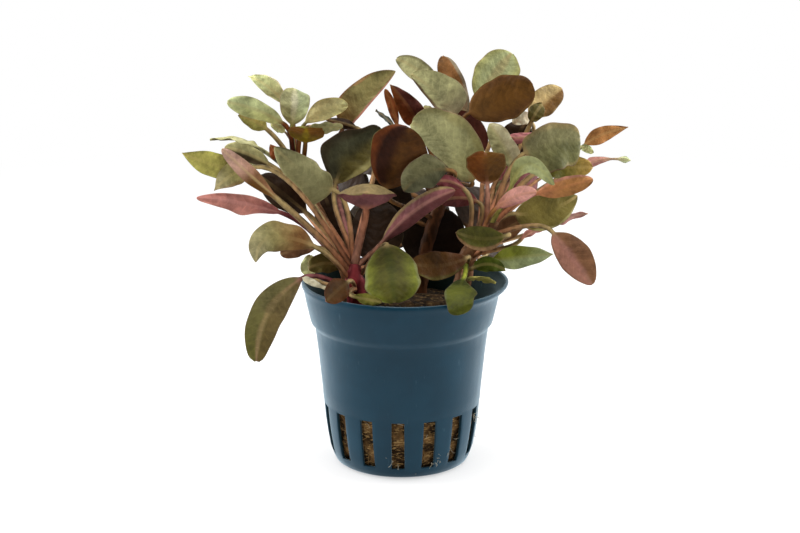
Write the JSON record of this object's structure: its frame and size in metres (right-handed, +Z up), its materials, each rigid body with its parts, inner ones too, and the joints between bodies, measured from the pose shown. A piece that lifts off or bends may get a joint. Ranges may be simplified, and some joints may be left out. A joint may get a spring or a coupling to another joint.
{
  "type": "potted mini cardinal flower",
  "caption": "Mini cardinal flower aquarium plant in a slotted teal net pot with mineral wool, its oval olive, green and pink-backed leaves fanning out from branching stems.",
  "frame": {"origin": "middle of the pot's underside", "axes": "+Z up along the pot's axis, -Y towards the front that the picture shows, +X to that view's right"},
  "size_m": [0.1241, 0.0683, 0.1092],
  "materials": {
    "pot": "satin teal, slightly scuffed",
    "rockwool": "damp brown mineral fibre",
    "stalk": "smooth pink-brown plant stalk",
    "leaf_brown": "satin brown leaf",
    "leaf_dark_olive": "satin dark olive leaf",
    "leaf_dark_red": "satin dark red-brown leaf",
    "leaf_grey_green": "satin grey-green leaf",
    "leaf_lime": "satin yellow-green leaf",
    "leaf_olive": "satin olive leaf",
    "leaf_pale_green": "satin pale green leaf",
    "leaf_pink": "satin pink leaf underside",
    "leaf_rust": "satin orange-brown leaf"
  },
  "bodies": {
    "root": {"pot": "pot", "rockwool": "rockwool", "crown_left": "stalk", "crown_right": "stalk", "crown_back": "stalk", "young_shoot": "stalk", "leaf_shoot_long": "leaf_pale_green", "leaf_shoot_top": "leaf_pale_green", "leaf_shoot_right": "leaf_pale_green", "leaf_shoot_front": "leaf_brown", "leaf_shoot_left": "leaf_pale_green", "leaf_left_olive": "leaf_grey_green", "leaf_left_far": "leaf_lime", "leaf_left_dipping": "leaf_grey_green", "leaf_left_pink_tip": "leaf_rust", "leaf_left_purple": "leaf_pink", "leaf_left_curled": "leaf_grey_green", "leaf_left_drooping": "leaf_olive", "leaf_rim_brown": "leaf_brown", "leaf_front_round": "leaf_olive", "leaf_arching": "leaf_pink", "leaf_middle_pink": "leaf_pink", "leaf_left_grey": "leaf_grey_green", "leaf_left_inner": "leaf_dark_olive", "leaf_back_tall": "leaf_olive", "leaf_right_dark": "leaf_dark_olive", "leaf_rim_lime": "leaf_lime", "leaf_right_bright": "leaf_lime", "leaf_right_hanging": "leaf_pink", "leaf_right_olive": "leaf_dark_olive", "leaf_right_orange": "leaf_rust", "leaf_right_pink": "leaf_pink", "leaf_right_folded": "leaf_pale_green", "leaf_right_large": "leaf_grey_green", "leaf_right_lower": "leaf_dark_olive", "leaf_right_far": "leaf_rust", "leaf_right_grey": "leaf_grey_green", "leaf_right_brown": "leaf_brown", "leaf_right_bowl": "leaf_olive", "leaf_top_brown": "leaf_brown", "leaf_top_pale": "leaf_pale_green", "leaf_top_orange": "leaf_rust", "leaf_top_green": "leaf_pale_green", "leaf_top_wide": "leaf_grey_green", "leaf_top_red": "leaf_dark_red", "leaf_middle_brown": "leaf_brown", "leaf_middle_pale": "leaf_pale_green", "leaf_middle_grey": "leaf_grey_green", "leaf_top_right": "leaf_grey_green", "leaf_rear_low": "leaf_olive", "leaf_rear_middle": "leaf_olive", "leaf_rear_left": "leaf_olive", "leaf_rear_right": "leaf_olive", "leaf_rear_inner": "leaf_olive", "leaf_rear_high": "leaf_olive", "leaf_rear_upper": "leaf_olive", "leaf_rear_shoot": "leaf_olive", "leaf_rear_outer": "leaf_olive", "leaf_rear_rim": "leaf_olive", "leaf_rear_side": "leaf_olive"}
  },
  "joints": []
}
